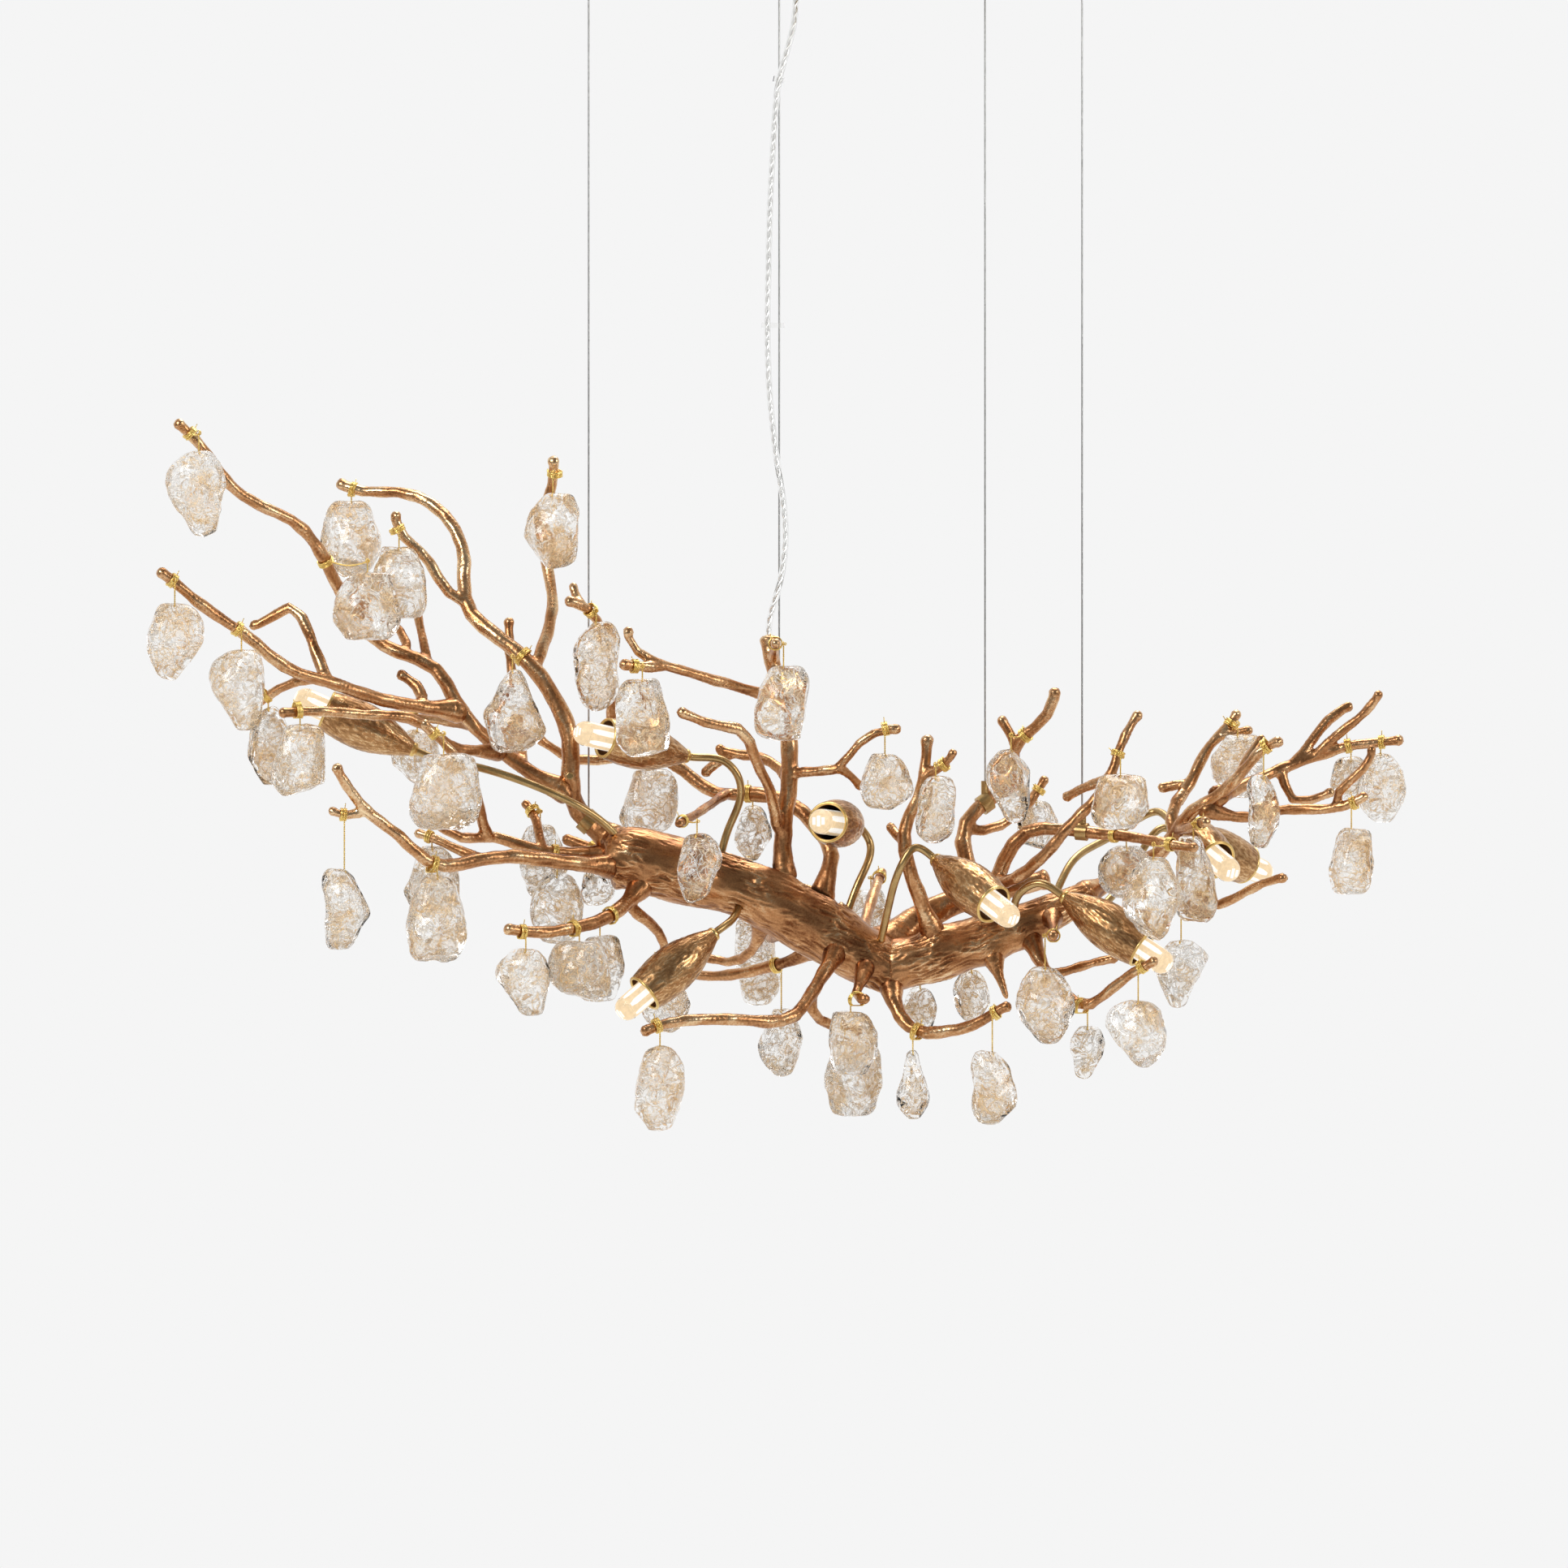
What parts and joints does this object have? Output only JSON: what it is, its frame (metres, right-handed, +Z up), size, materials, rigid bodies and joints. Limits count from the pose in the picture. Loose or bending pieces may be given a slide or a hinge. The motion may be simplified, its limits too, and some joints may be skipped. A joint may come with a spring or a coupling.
{
  "type": "branch chandelier",
  "caption": "Hanging chandelier of cast brass tree limbs with crackled glass nuggets on wires and lit leaf-shaped lamp cups, hung on steel cables from a ceiling canopy.",
  "frame": {"origin": "middle of the mounting bar's ceiling face, midway between its two screw holes", "axes": "+Z up into the ceiling, +X to the right along the tree, -Y towards the viewer of the picture"},
  "size_m": [0.9901, 0.3361, 0.9406],
  "materials": {
    "antique_brass": "cast bark texture, patinated",
    "bright_brass": "satin",
    "cup_brass": "leaf texture, olive patina",
    "gold_wire": "polished",
    "canopy_brass": "satin",
    "nugget_glass": "crackled, champagne tint",
    "bulb_glass": "clear capsule, lit warm white",
    "holder_white": "plain",
    "slot_black": "satin",
    "cable_steel": "stranded",
    "bar_steel": "zinc plated",
    "fitting_chrome": "polished",
    "cord_clear": "clear sheath over tinned strands"
  },
  "bodies": {
    "fixture": {"arched_left_branch": "antique_brass", "upper_left_branch": "antique_brass", "left_branch": "antique_brass", "low_left_branch": "antique_brass", "under_left_branch": "antique_brass", "centre_stem": "antique_brass", "back_left_branch": "antique_brass", "front_under_branch": "antique_brass", "rear_under_branch": "antique_brass", "under_right_branch": "antique_brass", "centre_right_branch": "antique_brass", "back_bough": "antique_brass", "front_right_branch": "antique_brass", "right_branch": "antique_brass", "far_right_branch": "antique_brass", "trunk_left": "antique_brass", "trunk_right": "antique_brass", "slot_cover": "slot_black", "set_screws": "bright_brass", "lamp_arms": "bright_brass", "lamp_cups": "cup_brass", "lampholders": "holder_white", "bulbs": "bulb_glass", "wire_wraps": "gold_wire", "tight_nuggets_left": "nugget_glass", "tight_nuggets_right": "nugget_glass", "cable_far_left": "cable_steel", "cable_cord_side": "cable_steel", "cable_right": "cable_steel", "cable_far_right": "cable_steel", "cable_saddles": "bright_brass", "cable_grippers": "fitting_chrome", "power_cord": "cord_clear", "cord_ties": "cord_clear", "cord_gland": "holder_white", "ceiling_canopy": "canopy_brass", "mounting_bar": "bar_steel", "canopy_brackets": "bar_steel", "canopy_screws": "bright_brass", "terminal_block": "holder_white"},
    "nugget_far_left": {"nugget_far_left": "nugget_glass"},
    "nugget_arch": {"nugget_arch": "nugget_glass"},
    "nugget_arch_side": {"nugget_arch_side": "nugget_glass"},
    "nugget_left_tip": {"nugget_left_tip": "nugget_glass"},
    "nugget_left": {"nugget_left": "nugget_glass"},
    "nugget_left_front": {"nugget_left_front": "nugget_glass"},
    "nugget_low_rise": {"nugget_low_rise": "nugget_glass"},
    "nugget_stem_left": {"nugget_stem_left": "nugget_glass"},
    "nugget_centre": {"nugget_centre": "nugget_glass"},
    "nugget_low_tip": {"nugget_low_tip": "nugget_glass"},
    "nugget_low_left": {"nugget_low_left": "nugget_glass"},
    "nugget_trunk": {"nugget_trunk": "nugget_glass"},
    "nugget_front_under": {"nugget_front_under": "nugget_glass"},
    "nugget_under_drop": {"nugget_under_drop": "nugget_glass"},
    "nugget_under_right": {"nugget_under_right": "nugget_glass"},
    "nugget_low_right": {"nugget_low_right": "nugget_glass"},
    "nugget_front_right": {"nugget_front_right": "nugget_glass"},
    "nugget_right_tip": {"nugget_right_tip": "nugget_glass"},
    "nugget_far_right": {"nugget_far_right": "nugget_glass"},
    "nugget_far_low": {"nugget_far_low": "nugget_glass"}
  },
  "joints": [
    {"name": "nugget_far_left_swing", "type": "hinge", "parent": "fixture", "child": "nugget_far_left", "pos_m": [-0.49779, -0.0871, -0.39512], "axis": [0.3547, -0.935, 0], "range_deg": [-14, 14]},
    {"name": "nugget_arch_swing", "type": "hinge", "parent": "fixture", "child": "nugget_arch", "pos_m": [-0.38273, 0.06717, -0.43593], "axis": [-0.1725, -0.985, 0], "range_deg": [-14, 14]},
    {"name": "nugget_arch_side_swing", "type": "hinge", "parent": "fixture", "child": "nugget_arch_side", "pos_m": [-0.34331, 0.00147, -0.46853], "axis": [0.0638, -0.998, 0], "range_deg": [-14, 14]},
    {"name": "nugget_left_tip_swing", "type": "hinge", "parent": "fixture", "child": "nugget_left_tip", "pos_m": [-0.51496, -0.12918, -0.51124], "axis": [0.324, -0.9461, 0], "range_deg": [-14, 9]},
    {"name": "nugget_left_swing", "type": "hinge", "parent": "fixture", "child": "nugget_left", "pos_m": [-0.46361, -0.11064, -0.54874], "axis": [0.3774, -0.926, 0], "range_deg": [-14, 5]},
    {"name": "nugget_left_front_swing", "type": "hinge", "parent": "fixture", "child": "nugget_left_front", "pos_m": [-0.41762, -0.11639, -0.61342], "axis": [0.3438, -0.939, 0], "range_deg": [-14, 14]},
    {"name": "nugget_low_rise_swing", "type": "hinge", "parent": "fixture", "child": "nugget_low_rise", "pos_m": [-0.30614, -0.08704, -0.63048], "axis": [0.4883, -0.8727, 0], "range_deg": [-14, 9]},
    {"name": "nugget_stem_left_swing", "type": "hinge", "parent": "fixture", "child": "nugget_stem_left", "pos_m": [-0.15069, -0.07691, -0.57756], "axis": [0.4265, -0.9045, 0], "range_deg": [-14, 6]},
    {"name": "nugget_centre_swing", "type": "hinge", "parent": "fixture", "child": "nugget_centre", "pos_m": [0.07947, -0.04695, -0.65457], "axis": [-0.4418, -0.8971, 0], "range_deg": [-6, 14]},
    {"name": "nugget_low_tip_swing", "type": "hinge", "parent": "fixture", "child": "nugget_low_tip", "pos_m": [-0.38283, -0.12374, -0.69378], "axis": [0.1518, -0.9884, 0], "range_deg": [-14, 14]},
    {"name": "nugget_low_left_swing", "type": "hinge", "parent": "fixture", "child": "nugget_low_left", "pos_m": [-0.31085, -0.10156, -0.73235], "axis": [0.4229, -0.9062, 0], "range_deg": [-14, 14]},
    {"name": "nugget_trunk_swing", "type": "hinge", "parent": "fixture", "child": "nugget_trunk", "pos_m": [-0.10798, -0.05111, -0.69924], "axis": [0.9566, -0.2914, 0], "range_deg": [-14, 7]},
    {"name": "nugget_front_under_swing", "type": "hinge", "parent": "fixture", "child": "nugget_front_under", "pos_m": [-0.13646, -0.1305, -0.85886], "axis": [0.3159, -0.9488, 0], "range_deg": [-14, 14]},
    {"name": "nugget_under_drop_swing", "type": "hinge", "parent": "fixture", "child": "nugget_under_drop", "pos_m": [0.0616, -0.03827, -0.86437], "axis": [-0.4625, -0.8866, 0], "range_deg": [-14, 14]},
    {"name": "nugget_under_right_swing", "type": "hinge", "parent": "fixture", "child": "nugget_under_right", "pos_m": [0.12361, -0.06916, -0.84936], "axis": [-0.3844, -0.9232, 0], "range_deg": [-14, 14]},
    {"name": "nugget_low_right_swing", "type": "hinge", "parent": "fixture", "child": "nugget_low_right", "pos_m": [0.23744, -0.09278, -0.81327], "axis": [-0.4724, -0.8814, 0], "range_deg": [-14, 14]},
    {"name": "nugget_front_right_swing", "type": "hinge", "parent": "fixture", "child": "nugget_front_right", "pos_m": [0.24944, -0.09246, -0.71719], "axis": [-0.6596, -0.7516, 0], "range_deg": [-6, 14]},
    {"name": "nugget_right_tip_swing", "type": "hinge", "parent": "fixture", "child": "nugget_right_tip", "pos_m": [0.33718, -0.04107, -0.6408], "axis": [-0.3636, -0.9315, 0], "range_deg": [-14, 14]},
    {"name": "nugget_far_right_swing", "type": "hinge", "parent": "fixture", "child": "nugget_far_right", "pos_m": [0.4313, 0.01521, -0.63688], "axis": [-0.185, -0.9827, 0], "range_deg": [-14, 14]},
    {"name": "nugget_far_low_swing", "type": "hinge", "parent": "fixture", "child": "nugget_far_low", "pos_m": [0.40634, -0.03726, -0.68466], "axis": [-0.3006, -0.9538, 0], "range_deg": [-14, 14]}
  ]
}
